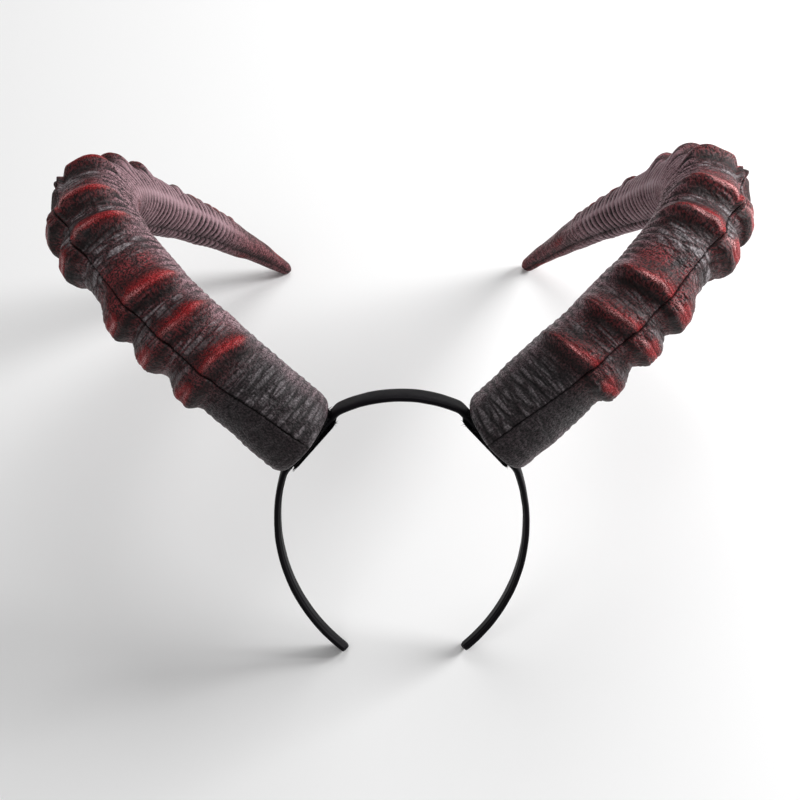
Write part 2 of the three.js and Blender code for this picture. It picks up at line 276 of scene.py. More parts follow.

# Past the bend the corner between the flank and the inner face has calmer grooves and a painted highlight
CORNER_ANGLE = 122
CORNER_SPREAD = 11
CORNER_CALM = 0.75
CORNER_HIGHLIGHT = 0.6

# Bars like a ladder's on both sides of the inner seam, closer together towards the bend
BAR_PITCH = 5.8
BAR_CLOSING = Rise(110, 200)
BAR_HEIGHT = 0.75
BAR_WANDER = Hills(0, 1.2, 13, 12, 50)
BAR_SLOT = Rise(0.55, 0.95)
BAR_RISE = Rise(127, 145)

# Paint on the bars: patchy red, stronger by the foot, and black in the slots
BAR_PATCHES = Hills(0.3, 0.5, 14, 9, 51)
BAR_SPOTS = Hills(0, 0.6, 4, 2.5, 54)
BAR_RED = 0.24
BAR_PATCH_RED = 0.4
BAR_FOOT_PATCH_RED = 0.6
BAR_FOOT_RED = 0.16
BAR_FOOT_PLACE = 14
BAR_FOOT_SPREAD = 26
BAR_BLACK = Hills(0.495, 0.405, 7, 5, 52)

# Crosswise wrinkles on the outer faces, and soft lumps everywhere
Wrinkles = namedtuple("Wrinkles", "hills depth black")
WRINKLES = [
    Wrinkles(Hills(0, 1, 3.2, 16, 60), 0.55, 0.5),
    Wrinkles(Hills(0, 1, 1.7, 9, 61), 0.33, 0.25),
]
WRINKLE_WIDTH = 0.16
WRINKLE_RISE = Rise(1, 4)
WRINKLE_ENDING = Rise(250, 262)
LUMPS = Hills(0, 0.45, 9, 9, 62)
LUMP_RISE = Rise(0, 6)

# The tip is dark, with black streaks and red stains along it
TIP_RISE = Rise(285, 325)
TIP_STREAKS = Hills(0, 1, 22, 2.5, 63)
TIP_STREAK_BLACK = 0.7
TIP_STAINS = Hills(0.1, 1, 26, 4, 64)
TIP_STAIN_RED = 0.7
TIP_STAIN_RISE = Rise(296, 322)
TIP_END_RED = 0.14
TIP_END_RISE = Rise(325, 356)

# Grey net on the foot's outer face: worn paint, partly painted highlight
FOOT_NET_ENDING = Rise(36, 48)
LEAST_NET = 0.02

# Wine red between the knobs and mauve on the flanks, and what is lost of them in other places
WINE_RISE = Rise(34, 66)
WINE_LOST_TO_NET = 0.8
WINE_LOST_PAST_BEND = 0.3
MAUVE_LOST_INSIDE = 0.8
MAUVE_LOST_PAST_BEND = 0.1

# Seams: a groove that wanders a little over the glue line, and fins where the halves' edges are pinched up
GLUE_GAP = 0.02
SEAM_DEPTH = 0.8
SEAM_WIDTH = 0.9
INNER_SEAM_WIDTH = 2.3
SEAM_WANDER = Hills(0, 0.6, 26, 1, 0)
SEAM_WANDER_FADE = 20
SEAM_SHIFT_SPREAD = radians(35)
SEAM_BLACK = Hills(0.75, 0.25, 7, 1, 50)
FIN_WIDTH = 1.6
FIN_THICK = 0.55
FIN_RAGGED = Hills(1, 0.3, 3, 1, 0)
FIN_RED = 0.45
FIN_RED_HEIGHT = 2
Fin = namedtuple("Fin", "along height reach")
SEAM_FINS = [
    Fin(92, 0.8, 3.5),
    Fin(127, 2.0, 4.2),
    Fin(146, 2.8, 4.9),
    Fin(173, 3.6, 8.4),
    Fin(200, 2.4, 5.6),
    Fin(222, 1.8, 4.9),
    Fin(262, 1.2, 8.4),
    Fin(300, 1.2, 14),
]

# Rows and columns of the horn's skin
BODY_ROWS = 540
END_ROWS = 14
SEAM_COLUMNS = [0, 0.25, 0.5, 0.8, 1.15, 1.6, 2.2, 3.0]
FACE_COLUMNS = 84
INSIDE_COLUMNS = 12


def smoothstep(value, low, high):
    share = np.clip((value - low) / (high - low), 0, 1)
    return share * share * (3 - 2 * share)


def bell(value, spread):
    return np.exp(-((value / spread) ** 2))


def mix(low, high, share):
    return low + (high - low) * share


def column(table, name, at):
    """One column of a table as a smooth curve, read at distances along."""
    places = np.array([row.along for row in table], float)
    values = np.array([getattr(row, name) for row in table], float)
    slopes = np.gradient(values, places)
    first = np.clip(np.searchsorted(places, at, side="right") - 1, 0, len(places) - 2)
    width = places[first + 1] - places[first]
    share = (at - places[first]) / width
    rest = 1 - share
    level = values[first] * rest**2 * (1 + 2 * share) + values[first + 1] * share**2 * (1 + 2 * rest)
    return level + width * share * rest * (slopes[first] * rest - slopes[first + 1] * share)


def straight_column(table, name, at):
    """One column of a table, read in straight lines between its rows."""
    return np.interp(at, [row.along for row in table], [getattr(row, name) for row in table])


def hills(across, along, seed):
    """Soft random hills and hollows of -1 to 1, about one to each unit square."""
    across, along = np.broadcast_arrays(np.asarray(across, float), np.asarray(along, float))
    corner_a = np.floor(across).astype(int)
    corner_b = np.floor(along).astype(int)
    low_a = corner_a.min()
    low_b = corner_b.min()
    size = (corner_a.max() - low_a + 2, corner_b.max() - low_b + 2)
    lattice = np.random.default_rng(seed).uniform(-1, 1, size)
    share_a = smoothstep(across - corner_a, 0, 1)
    share_b = smoothstep(along - corner_b, 0, 1)
    row = corner_a - low_a
    place = corner_b - low_b
    near = mix(lattice[row, place], lattice[row, place + 1], share_b)
    far = mix(lattice[row + 1, place], lattice[row + 1, place + 1], share_b)
    return mix(near, far, share_a)


def uneven(kind, along, across, seed=0):
    """Hills of one kind, at distances along and across a piece."""
    return kind.level + kind.height * hills(along / kind.length, across / kind.width, seed + kind.seed)


def ripple(turns):
    """Waves of 0 to 1, one to a turn."""
    return 0.5 + 0.5 * np.cos(2 * pi * turns)


def coat(kind, level, ahead):
    """Strength of a coat of paint at a level, at distances past a crest."""
    return mix(kind.low, kind.high, level) * bell(ahead - kind.place, kind.spread)


def signed_power(value, power):
    return np.sign(value) * np.abs(value) ** power


# Place of the headband


def band_marks():
    """Points and headings along one side of the hoop's middle line, from the crown to the end."""
    marks = [(0.0, 0.0, 0.0)]
    ends = {}
    for stretch in BAND_STRETCHES:
        steps = max(2, round(stretch.length / BAND_STRIDE))
        stride = stretch.length / steps
        turn = radians(stretch.turn) / steps
        for _ in range(steps):
            x, z, heading = marks[-1]
            course = heading + turn / 2
            marks.append((x + stride * cos(course), z - stride * sin(course), heading + turn))
        ends[stretch.place] = marks[-1]
    return np.array(marks), ends


def seat_frame(ends):
    """Turn and place of the left horn's seat: X along the hoop, Y to the back, Z out of the seat."""
    start_x, start_z, heading = ends["upper kink"]
    end_x, end_z, _ = ends["seat"]
    middle = Vector(((start_x + end_x) / 2, 0, (start_z + end_z) / 2))
    return Matrix.Translation(middle) @ Matrix.Rotation(heading, 4, "Y")


def rest_frame(seat):
    """Lean and place of the whole headband, from the left pad's flat face in the record."""
    mount = next(row for row in frame["record"]["mounts"] if row["name"] == "pad_face_left")
    axis = mount["axis"]
    lean = Matrix.Rotation(-atan2(-axis[1], -axis[2]), 4, "X")
    pad_face = seat @ Vector((0, 0, -BAND_THICKNESS / 2 - GAP - PAD_THICKNESS))
    place = Vector(mount["pos_m"]) / MILLIMETRE - lean @ pad_face
    return Matrix.Scale(MILLIMETRE, 4) @ Matrix.Translation(place) @ lean


BAND_SIDE, BAND_ENDS = band_marks()
SEAT = seat_frame(BAND_ENDS)
REST = rest_frame(SEAT)


def placed(points, matrix):
    turned = np.array(matrix)
    return points @ turned[:3, :3].T + turned[:3, 3]


def mirrored(points, faces):
    """A piece of the left side as it is on the right."""
    return points * np.array([-1, 1, 1]), [face[::-1] for face in faces]


# Meshes


def tube_faces(rows, count):
    """Quads round a tube of rows of points, with a face over each end."""
    row, place = np.meshgrid(np.arange(rows - 1), np.arange(count), indexing="ij")
    near = row * count
    far = near + count
    after = (place + 1) % count
    quads = np.stack([near + place, near + after, far + after, far + place], -1)
    faces = quads.reshape(-1, 4).tolist()
    faces.append(np.arange(count)[::-1].tolist())
    faces.append((np.arange(count) + (rows - 1) * count).tolist())
    return faces


def faces_out(points, faces):
    """The faces, turned round where the body's volume comes out negative."""
    quads = np.array([face for face in faces if len(face) == 4])
    first, second, third, fourth = (points[quads[:, corner]] for corner in range(4))
    outward = first + third - 2 * points.mean(axis=0)
    volume = np.sum(np.cross(third - first, fourth - second) * outward)
    return faces if volume > 0 else [face[::-1] for face in faces]


def tube(rows):
    """Points of a tube of rows of points, and its faces."""
    points = rows.reshape(-1, 3)
    return points, faces_out(points, tube_faces(*rows.shape[:2]))


def add_object(name, data):
    made = bpy.data.objects.new(name, data)
    bpy.context.scene.collection.objects.link(made)
    return made


def add_piece(name, points, faces, material, node):
    """A piece of the headband that stands for a solid of the frame."""
    mesh = bpy.data.meshes.new(name)
    mesh.from_pydata(placed(points, REST).tolist(), [], faces)
    mesh.update()
    mesh.shade_smooth()
    mesh.materials.append(material)
    piece = add_object(name, mesh)
    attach(piece, "root")
    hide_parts(node)
    return piece


def add_attribute(piece, name, values):
    """Numbers or vectors for each corner of a piece, for its material."""
    vector = values.ndim > 1
    made = piece.data.attributes.new(name, "FLOAT_VECTOR" if vector else "FLOAT", "POINT")
    made.data.foreach_set("vector" if vector else "value", values.astype(np.float32).ravel())


# Materials


def new_material(name):
    material = bpy.data.materials.new(name)
    material.use_nodes = True
    return material, material.node_tree, material.node_tree.nodes["Principled BSDF"]


def set_input(tree, socket, value):
    if isinstance(value, bpy.types.NodeSocket):
        tree.links.new(value, socket)
    else:
        socket.default_value = value


def add_node(tree, kind, values):
    """A node with its named inputs set or linked."""
    made = tree.nodes.new(kind)
    for name, value in values.items():
        set_input(tree, made.inputs[name], value)
    return made


def attribute(tree, name, output="Fac"):
    made = tree.nodes.new("ShaderNodeAttribute")
    made.attribute_name = name
    return made.outputs[output]


def math_node(tree, operation, first, second):
    made = tree.nodes.new("ShaderNodeMath")
    made.operation = operation
    set_input(tree, made.inputs[0], first)
    set_input(tree, made.inputs[1], second)
    return made.outputs[0]


def times(tree, product, *others):
    for other in others:
        product = math_node(tree, "MULTIPLY", product, other)
    return product


def stretched(tree, vector, scale):
    made = tree.nodes.new("ShaderNodeVectorMath")
    made.operation = "MULTIPLY"
    tree.links.new(vector, made.inputs[0])
    made.inputs[1].default_value = scale
    return made.outputs[0]


def noise(tree, skin, kind):
    vector = stretched(tree, skin, kind.stretch)
    values = {"Vector": vector, "Scale": kind.scale, "Detail": kind.detail, "Roughness": kind.roughness}
    return add_node(tree, "ShaderNodeTexNoise", values).outputs["Fac"]


def cells(tree, skin, kind):
    """Distances from the middles of small irregular cells, or from their edges."""
    values = {"Vector": stretched(tree, skin, kind.stretch), "Scale": kind.scale}
    made = add_node(tree, "ShaderNodeTexVoronoi", values)
    made.feature = kind.feature
    return made.outputs["Distance"]


def ramp(tree, value, rise):
    values = {"Value": value, "From Min": rise.start, "From Max": rise.full}
    made = add_node(tree, "ShaderNodeMapRange", values)
    made.interpolation_type = "SMOOTHSTEP"
    return made.outputs["Result"]


def mix_values(tree, share, low, high):
    values = {"Value": share, "To Min": low, "To Max": high}
    return add_node(tree, "ShaderNodeMapRange", values).outputs["Result"]


def blend(tree, share, low, high):
    made = tree.nodes.new("ShaderNodeMix")
    made.data_type = "RGBA"
    factor, first, second = made.inputs[0], made.inputs[6], made.inputs[7]
    set_input(tree, factor, share)
    set_input(tree, first, low)
    set_input(tree, second, high)
    return made.outputs[2]


def bump(tree, height, kind, normal=None):
    values = {"Height": height, "Distance": kind.depth * MILLIMETRE, "Strength": kind.strength}
    made = add_node(tree, "ShaderNodeBump", values)
    if normal is not None:
        tree.links.new(normal, made.inputs["Normal"])
    return made.outputs["Normal"]


def tint(red, green, blue):
    """A colour given as on a screen, 0 to 255, in the shader's linear values."""
    shares = [part / 255 for part in (red, green, blue)]
    return (*[s / 12.92 if s <= 0.04045 else ((s + 0.055) / 1.055) ** 2.4 for s in shares], 1.0)


# Near-black for dark paint and for painted shade
BLACK_AND_SHADE = tint(11, 9, 10)
CHARCOAL_DEEP = tint(17, 12, 14)
CHARCOAL_SPECK = tint(60, 49, 53)
CHARCOAL_WORN_AND_LIT = tint(160, 152, 156)
MAUVE_DEEP = tint(46, 23, 28)
MAUVE_WORN_AND_LIT = tint(166, 126, 134)
GREY_DEEP = tint(34, 30, 33)
GREY_WORN_AND_LIT = tint(112, 104, 109)
WINE_DEEP = tint(34, 14, 16)
WINE_WORN = tint(138, 48, 53)
TIP_DEEP = tint(38, 15, 18)
TIP_WORN_AND_LIT = tint(138, 78, 84)
RED_DEEP = tint(82, 9, 13)
RED_BRIGHT = tint(168, 22, 29)
PINK = tint(216, 152, 152)
SATIN_DEEP = tint(9, 7, 10)
SATIN_WORN = tint(19, 16, 21)
FELT_DEEP = tint(8, 8, 9)
FELT_FLUFF = tint(30, 30, 32)

# Noise in a skin: its scale, layers of detail and roughness, and its stretch along, across and through
Noise = namedtuple("Noise", "scale detail roughness stretch")
EVEN = (1.0, 1.0, 1.0)
FOAM_GRAIN = Noise(1.1, 3.0, 0.65, EVEN)
FOAM_PORES = Noise(2.2, 1.0, 0.5, EVEN)
FOAM_STREAKS = Noise(0.55, 2.0, 0.6, (1.0, 0.1, 1.0))
FOAM_THREADS = Noise(0.8, 2.0, 0.5, (0.18, 1.0, 1.0))
FOAM_PATCHES = Noise(0.06, 3.0, 0.5, EVEN)
SATIN_THREADS = Noise(3.2, 1.0, 0.5, (1.0, 0.08, 0.08))
SATIN_CLOUDS = Noise(0.12, 2.0, 0.5, EVEN)
FELT_MATTING = Noise(1.6, 4.0, 0.7, EVEN)
Cells = namedtuple("Cells", "feature scale stretch")
FOAM_LEATHER = Cells("F1", 0.8, (1.0, 0.6, 1.0))
FOAM_CRACKS = Cells("DISTANCE_TO_EDGE", 0.36, (1.0, 0.2, 1.0))

# Values of the noise, or of a layer of paint, over which each look of the foam comes up
SPECKLE = Rise(0.42, 0.6)
CRACKLE = Rise(0.03, 0.24)
WORN_AND_LIT_STREAKS = Rise(0.34, 0.52)
WORN_AND_LIT_THREADS = Rise(0.4, 0.55)
WINE_PATCHES = Rise(0.28, 0.46)
DUST_AND_SHEEN = Rise(0.62, 1.02)
BRUSHED_RED = Rise(0.3, 0.7)
RED_EDGE = Rise(0.05, 0.3)
BRIGHT_RED = Rise(0.3, 0.85)
BRIGHT_PORES = Rise(0.36, 0.6)
GLINT_PORES = Rise(0.58, 0.7)
RIM_PORES = Rise(0.42, 0.56)

# How far each look of the foam goes
NET_OFF_SPECKLE = 0.4
NET_OFF_THREADS = 0.5
HIGHLIGHT_ON_RIDGES = 0.32
DUST_AND_SHEEN_OFF_LEATHER = 0.4
LEAST_TINT = 0.4
BRUSH_MIDDLE = 0.5
BRUSH_CONTRAST = 1.4
GLINT_SHARE = 0.25

# Bumps in a skin, in millimetres and in strength, and how rough and glossy a skin is
Bumps = namedtuple("Bumps", "depth strength")
STREAK_BUMPS = Bumps(0.6, 0.5)
CRACKLE_BUMPS = Bumps(0.4, 0.5)
GRAIN_BUMPS = Bumps(0.6, 0.7)
LEATHER_BUMPS = Bumps(0.7, 0.6)
SATIN_BUMPS = Bumps(0.12, 0.5)
FELT_BUMPS = Bumps(0.35, 0.8)
Finish = namedtuple("Finish", "roughness gloss")
FOAM_FINISH = Finish(0.62, 0.25)
DUST_AND_SHEEN_ROUGHNESS = 0.3
SATIN_FINISH = Finish(0.5, 0.08)
FELT_FINISH = Finish(0.95, 0.1)


def set_finish(shader, finish):
    shader.inputs["Roughness"].default_value = finish.roughness
    shader.inputs["Specular IOR Level"].default_value = finish.gloss


def foam_material():
    """Moulded foam: leathery charcoal, grey-mauve flanks, and dry-brushed red on what stands out, with
    painted shade in the hollows and painted highlights on crests, ridges and flanks.
    """
    material, tree, shader = new_material("horn_foam")
    skin = attribute(tree, "skin", "Vector")
    grain = noise(tree, skin, FOAM_GRAIN)
    pores = noise(tree, skin, FOAM_PORES)
    streaks = noise(tree, skin, FOAM_STREAKS)
    threads = noise(tree, skin, FOAM_THREADS)
    patches = noise(tree, skin, FOAM_PATCHES)
    leather = cells(tree, skin, FOAM_LEATHER)
    speckle = ramp(tree, grain, SPECKLE)
    crackle = ramp(tree, cells(tree, skin, FOAM_CRACKS), CRACKLE)

    # Grey net on the faces: worn paint that is partly a painted highlight on its streaks
    worn = ramp(tree, streaks, WORN_AND_LIT_STREAKS)
    speckled = mix_values(tree, speckle, NET_OFF_SPECKLE, 1.0)
    threaded = mix_values(tree, ramp(tree, threads, WORN_AND_LIT_THREADS), NET_OFF_THREADS, 1.0)
    net = times(tree, worn, speckled, crackle, threaded, attribute(tree, "net"))
    wine = times(tree, ramp(tree, patches, WINE_PATCHES), attribute(tree, "wine"))
    dark = blend(tree, speckle, CHARCOAL_DEEP, CHARCOAL_SPECK)
    dark = blend(tree, wine, dark, blend(tree, speckle, WINE_DEEP, WINE_WORN))
    face = blend(tree, net, dark, CHARCOAL_WORN_AND_LIT)
    # Pale speckle on flanks and tip: partly dry-brushed dust and partly painted sheen, raised further by the
    # painted highlight on the ridges
    raised = times(tree, attribute(tree, "ridge"), HIGHLIGHT_ON_RIDGES)
    raised = math_node(tree, "SUBTRACT", raised, times(tree, leather, DUST_AND_SHEEN_OFF_LEATHER))
    raised = math_node(tree, "ADD", raised, math_node(tree, "ADD", grain, pores))
    dust_and_sheen = ramp(tree, raised, DUST_AND_SHEEN)
    tinted = math_node(tree, "MAXIMUM", attribute(tree, "wine"), LEAST_TINT)
    deep = blend(tree, tinted, GREY_DEEP, MAUVE_DEEP)
    side = blend(tree, dust_and_sheen, deep, blend(tree, tinted, GREY_WORN_AND_LIT, MAUVE_WORN_AND_LIT))
    body = blend(tree, attribute(tree, "flank"), face, side)
    body = blend(tree, attribute(tree, "tip"), body, blend(tree, dust_and_sheen, TIP_DEEP, TIP_WORN_AND_LIT))

    red_mask = attribute(tree, "red")
    brushed = math_node(tree, "SUBTRACT", grain, BRUSH_MIDDLE)
    brushed = times(tree, brushed, BRUSH_CONTRAST)
    red_share = ramp(tree, math_node(tree, "ADD", red_mask, brushed), BRUSHED_RED)
    red_share = times(tree, red_share, ramp(tree, red_mask, RED_EDGE))
    # Red lighter on the crest's middle, pink glints and pink rims: painted highlights, the rims partly
    # dry-brushed paint too
    lit = times(tree, ramp(tree, pores, BRIGHT_PORES), ramp(tree, red_mask, BRIGHT_RED))
    painted = blend(tree, red_share, body, blend(tree, lit, RED_DEEP, RED_BRIGHT))
    glints = times(tree, red_mask, ramp(tree, pores, GLINT_PORES), GLINT_SHARE)
    painted = blend(tree, glints, painted, PINK)
    rim = times(tree, attribute(tree, "rim"), ramp(tree, pores, RIM_PORES))
    painted = blend(tree, rim, painted, PINK)
    # Near-black over everything: dark paint, glue and streaks, and painted shade in grooves, creases and
    # under the knobs
    black_and_shade = attribute(tree, "black_and_shade")
    painted = blend(tree, black_and_shade, painted, BLACK_AND_SHADE)
    tree.links.new(painted, shader.inputs["Base Color"])

    relief = bump(tree, streaks, STREAK_BUMPS)
    relief = bump(tree, crackle, CRACKLE_BUMPS, relief)
    relief = bump(tree, grain, GRAIN_BUMPS, relief)
    relief = bump(tree, math_node(tree, "SUBTRACT", 1.0, leather), LEATHER_BUMPS, relief)
    tree.links.new(relief, shader.inputs["Normal"])
    set_finish(shader, FOAM_FINISH)
    clean_dust_and_sheen = times(tree, dust_and_sheen, math_node(tree, "SUBTRACT", 1.0, black_and_shade))
    roughness = mix_values(tree, clean_dust_and_sheen, FOAM_FINISH.roughness, DUST_AND_SHEEN_ROUGHNESS)
    tree.links.new(roughness, shader.inputs["Roughness"])
    return material


def satin_material():
    """Black satin ribbon with a fine crosswise weave."""
    material, tree, shader = new_material("band_satin")
    skin = attribute(tree, "skin", "Vector")
    threads = noise(tree, skin, SATIN_THREADS)
    colour = blend(tree, noise(tree, skin, SATIN_CLOUDS), SATIN_DEEP, SATIN_WORN)
    tree.links.new(colour, shader.inputs["Base Color"])
    tree.links.new(bump(tree, threads, SATIN_BUMPS), shader.inputs["Normal"])
    set_finish(shader, SATIN_FINISH)
    return material


def felt_material():
    """Black felt: dull, with short matted fibres."""
    material, tree, shader = new_material("pad_felt")
    matted = noise(tree, attribute(tree, "skin", "Vector"), FELT_MATTING)
    tree.links.new(blend(tree, matted, FELT_DEEP, FELT_FLUFF), shader.inputs["Base Color"])
    tree.links.new(bump(tree, matted, FELT_BUMPS), shader.inputs["Normal"])
    set_finish(shader, FELT_FINISH)
    return material


# Horns


def horn_rows():
    """Distances along the horn of the skin's rows, closer together at the rounded foot and tip."""
    quarter = np.linspace(0, pi / 2, END_ROWS)
    foot = HORN_FOOT_RADIUS * (1 - np.cos(quarter))
    body = np.linspace(HORN_FOOT_RADIUS, HORN_LENGTH - HORN_TIP_RADIUS, BODY_ROWS)
    tip = HORN_LENGTH - HORN_TIP_RADIUS * (1 - np.sin(quarter))
    return np.concatenate([foot[:-1], body, tip[1:-1]])


def horn_spine(rows):
    """Points and forward, inward and across directions of the horn's middle line, in the seat's axes."""
    lean = radians(HORN_LEAN_DEGREES)
    marks = np.arange(HORN_LENGTH + 1)
    bends = np.radians(straight_column(HORN_BENDS, "bend", marks))
    twist = radians(HORN_TWIST_DEGREES / HORN_LENGTH)
    forward = Vector((0, sin(lean), cos(lean)))
    inward = Vector((0, cos(lean), -sin(lean)))
    point = Vector((0, -HORN_FORWARD, foot_height()))
    spine = []
    for bend in bends:
        across = forward.cross(inward)
        spine.append([*point, *forward, *inward, *across])
        turn = Matrix.Rotation(bend, 3, across)
        point = point + forward / 2
        forward = turn @ forward
        inward = turn @ inward
        point = point + forward / 2
        inward = Matrix.Rotation(twist, 3, forward) @ inward
    spine = np.array(spine)
    read = np.stack([np.interp(rows, marks, spine[:, part]) for part in range(spine.shape[1])], -1)
    return np.split(read[:, None, :], 4, axis=-1)


def foot_height():
    """Height of the horn's flat foot over the hoop's middle line."""
    return BAND_THICKNESS / 2 + GAP + CAP_THICKNESS + GAP


def section_angles(radius):
    """Angles from the outer seam of each row's points, close together beside both seams."""
    edge = np.array(SEAM_COLUMNS) / radius
    inner_edge = pi - edge[:, ::-1]
    share = np.linspace(0, 1, FACE_COLUMNS + 2)[1:-1]
    middle = mix(edge[:, -1:], inner_edge[:, :1], share)
    return np.concatenate([edge, middle, inner_edge], axis=1)


def plain_section(along, angle, side):
    """Distances out of the bend and across of the horn's section without relief."""
    outer_seam = np.radians(straight_column(HORN_SEAMS, "outer", along))
    inner_seam = np.radians(straight_column(HORN_SEAMS, "inner", along))
    share = 1 + side * (outer_seam + inner_seam) / pi
    turn = angle * share - side * outer_seam
    outward = np.cos(turn) > 0
    power = 2 / np.where(outward, OUTER_ROUNDNESS, INNER_ROUNDNESS)
    outside = column(HORN_SECTIONS, "outside", along)
    depth = np.where(outward, outside, column(HORN_SECTIONS, "inside", along))
    out = signed_power(np.cos(turn), power) * depth + KEEL_HEIGHT * bell(angle, KEEL_SPREAD)
    across = signed_power(np.sin(turn), power) * column(HORN_SECTIONS, "flank", along)
    return out, across


def mean_radius(along):
    sizes = [column(HORN_SECTIONS, name, along) for name in ("outside", "inside", "flank", "flank")]
    return sum(sizes) / len(sizes)


class Relief:
    """What stands out of one half's plain section and how it is painted, at each point of its skin."""

    def __init__(self, along, angle, side, seed):
        radius = mean_radius(along)
        self.along = along + 0 * angle
        self.degrees = np.degrees(angle)
        self.upper = side > 0
        self.half = UPPER_HALF if self.upper else LOWER_HALF
        self.seed = seed
        self.from_outer = angle * radius
        self.from_inner = (pi - angle) * radius
        self.height = np.zeros_like(angle)
        self.paint = {layer: np.zeros_like(angle) for layer in ("red", "rim", "black_and_shade", "net")}
        ragged = self.outer_hills(CORNER_WANDER)
        self.face = 1 - smoothstep(self.degrees + ragged, *FACE_ENDING)
        self.inner_face = smoothstep(self.degrees + ragged, *BAR_RISE)
        self.beyond = self.past(PAST_BEND)
        by_foot = 1 - self.past(FOOT_NET_ENDING)
        self.lay_on("net", (self.half.foot_net * by_foot + LEAST_NET) * self.face)
        self.add_knobs()
        self.add_rings()
        self.add_grooves()
        self.add_bars()
        self.add_wrinkles()
        self.add_seams()
        self.stain_tip()

    def past(self, rise):
        """Shares of 0 to 1 over a stretch along the horn."""
        return smoothstep(self.along, *rise)

    def outer_hills(self, kind):
        """Soft hills over the skin, laid out from the outer seam."""
        return uneven(kind, self.along, self.from_outer, self.seed)

    def inner_hills(self, kind):
        """Soft hills over the skin, laid out from the inner seam."""
        return uneven(kind, self.along, self.from_inner, self.seed)

    def along_crest(self, kind, number):
        """Soft hills along one crest of a row."""
        seed = self.seed + kind.seed + kind.seed_step * number
        row = kind.row_step * number
        return kind.level + kind.height * hills(self.from_outer / kind.width, row, seed)

    def lay_on(self, layer, strength):
        """Paint in one of the layers, where it is stronger than what is there."""
        self.paint[layer] = np.maximum(self.paint[layer], strength)

    def add_knobs(self):
        """Knobs, pinched at the seam and swelling to an ear at the corner of the face."""
        share = mix(KNOB_AT_SEAM, 1, smoothstep(self.from_outer, 0, KNOB_FULL))
        share = share * (1 - smoothstep(self.degrees, *KNOB_ENDING))
        share = share + EAR_HEIGHT * bell(self.degrees - EAR_ANGLE, EAR_SPREAD)
        crest = self.half.crest
        skew = self.half.skew * (CREST_PIVOT - np.minimum(self.from_outer, CREST_REACH))
        raised = 0
        for number, knob in enumerate(HORN_KNOBS):
            height = knob.upper if self.upper else knob.lower
            steep = knob.steep + self.half.softening
            ahead = self.along - knob.along - skew - self.along_crest(KNOB_WANDER, number)
            rise = np.clip((ahead + steep) / (steep - crest), 0, 1)
            rise = rise**CREST_SHARPNESS if self.upper else smoothstep(rise, 0, 1)
            fall = 1 - np.clip((ahead - crest) / knob.gentle, 0, 1)
            fall = mix(fall**2, smoothstep(fall, 0, 1), self.half.roundness)
            raised = np.maximum(raised, height * rise * fall)
            strength = self.face * height / KNOB_TALLEST
            self.redden_knob(number, ahead, strength)
            patchy = np.clip(self.along_crest(RIM_PATCHES, number), 0, 1)
            # Pink rim on the crest, partly dry-brushed paint and partly painted highlight; grey net on the
            # foot side, partly painted highlight; black before and past the crest, painted shade
            self.lay_on("rim", coat(KNOB_RIM, knob.worn, ahead) * patchy * strength)
            self.lay_on("net", coat(KNOB_NET, knob.worn, ahead + steep) * self.face)
            self.lay_on("black_and_shade", coat(KNOB_BLACK, knob.black, ahead) * strength)
            self.lay_on("black_and_shade", coat(KNOB_SHADE, 1, ahead - crest) * strength)
        self.height += raised * share

    def redden_knob(self, number, ahead, strength):
        """Red on a knob's crest, and maroon past it."""
        patchy = self.along_crest(KNOB_RED_PATCHES, number)
        before = KNOB_RED.spread + self.half.crest / 2
        past = KNOB_RED_PAST + self.half.crest
        spread = np.where(ahead < KNOB_RED.place, before, past) * (1 + KNOB_RED_UNEVEN * patchy)
        red = mix(KNOB_RED.low, KNOB_RED.high, patchy) * bell(ahead - KNOB_RED.place, spread)
        maroon = coat(KNOB_MAROON, patchy, ahead) * (1 - MAROON_LOST * self.beyond)
        maroon = maroon * smoothstep(ahead, *MAROON_RISE)
        near_seam = mix(self.half.red_at_seam, 1, smoothstep(self.from_outer, *KNOB_RED_RISE))
        self.lay_on("red", strength * near_seam * np.maximum(red, maroon))

    def add_rings(self):
        """Small rings between the last knob and the smooth tip."""
        share = mix(RING_AT_SEAM, 1, smoothstep(self.from_outer, *RING_RISE))
        share = share * (1 - smoothstep(self.degrees, *RING_ENDING))
        for number in range(RING_COUNT):
            wander = self.along_crest(RING_WANDER, number)
            ahead = self.along - RING_FIRST - number * RING_PITCH - wander
            crest = bell(ahead, RING_RED.spread) * share
            self.height += self.half.ring * crest
            self.lay_on("red", coat(RING_RED, 1, ahead) * share)
            self.lay_on("rim", coat(RING_RIM, 1, ahead) * share)
            self.lay_on("black_and_shade", coat(RING_BLACK, 1, ahead) * share)

    def add_grooves(self):
        """Grooves round the flanks, and thin lines by the foot."""
        wave = ripple((self.along + self.outer_hills(GROOVE_WANDER)) / GROOVE_PITCH)
        breaks = self.outer_hills(GROOVE_BREAKS)
        mended = self.past(GROOVE_MENDING)
        broken = GROOVE_LEVEL + mix(GROOVE_BROKEN_BY_FOOT, GROOVE_BROKEN, mended) * breaks
        share = smoothstep(self.degrees, *GROOVE_RISE)
        share = share * (1 - self.inner_face * (1 - self.beyond))
        share = share * (1 - self.past(GROOVE_ENDING))
        corner = bell(self.degrees - CORNER_ANGLE, CORNER_SPREAD) * self.beyond
        groove = np.clip(GROOVE_GAIN * wave**GROOVE_SHARPNESS * broken, 0, 1)
        groove = groove * (1 - CORNER_CALM * corner)
        deep = self.past(GROOVE_DEEPENING)
        self.height -= GROOVE_DEPTH * groove * share * mix(GROOVE_DEPTH_BY_FOOT, 1, deep)
